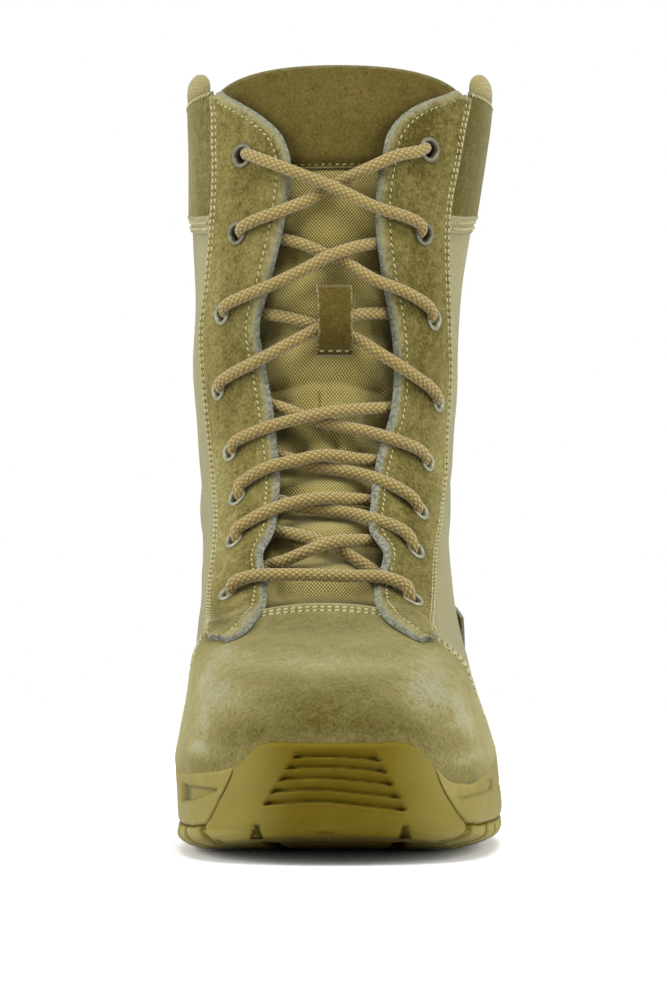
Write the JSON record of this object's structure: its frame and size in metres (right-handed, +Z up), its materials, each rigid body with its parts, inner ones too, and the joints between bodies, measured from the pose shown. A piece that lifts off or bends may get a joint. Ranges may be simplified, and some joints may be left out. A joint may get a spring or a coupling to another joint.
{
  "type": "lace-up boot",
  "caption": "Tall lace-up boot for the left foot, with a hollow suede and nylon upper, padded tongue and collar, laced facings and a lugged rubber sole with a toe bumper.",
  "frame": {"origin": "on the floor under the middle of the boot's box", "axes": "+Z up, -Y towards the toe, +X towards the lateral side of this left boot"},
  "size_m": [0.1142, 0.3026, 0.2758],
  "materials": {
    "outsole_rubber": "moulded, matte",
    "midsole_rubber": "moulded, matte",
    "lining": "knitted lining",
    "suede_and_nylon": "suede over the foot, woven nylon quarters above",
    "suede": "brushed suede",
    "nylon": "woven nylon",
    "eyelet_paint": "satin paint",
    "lace_cord": "round braid"
  },
  "bodies": {
    "root": {"outsole": "outsole_rubber", "midsole": "midsole_rubber", "insole": "lining", "upper": "suede_and_nylon", "tongue": "nylon", "facing_medial": "suede", "facing_lateral": "suede", "heel_counter": "suede", "collar_panel": "suede", "collar_roll": "lining", "lace_keeper": "suede", "eyelet_medial_1": "eyelet_paint", "eyelet_medial_2": "eyelet_paint", "eyelet_medial_3": "eyelet_paint", "eyelet_medial_4": "eyelet_paint", "eyelet_medial_5": "eyelet_paint", "eyelet_medial_6": "eyelet_paint", "eyelet_medial_7": "eyelet_paint", "eyelet_medial_8": "eyelet_paint", "eyelet_lateral_1": "eyelet_paint", "eyelet_lateral_2": "eyelet_paint", "eyelet_lateral_3": "eyelet_paint", "eyelet_lateral_4": "eyelet_paint", "eyelet_lateral_5": "eyelet_paint", "eyelet_lateral_6": "eyelet_paint", "eyelet_lateral_7": "eyelet_paint", "eyelet_lateral_8": "eyelet_paint", "lace_cross_1": "lace_cord", "lace_cross_2": "lace_cord", "lace_cross_3": "lace_cord", "lace_cross_4": "lace_cord", "lace_cross_5": "lace_cord", "lace_cross_6": "lace_cord", "lace_cross_7": "lace_cord", "lace_bar": "lace_cord"}
  },
  "joints": []
}
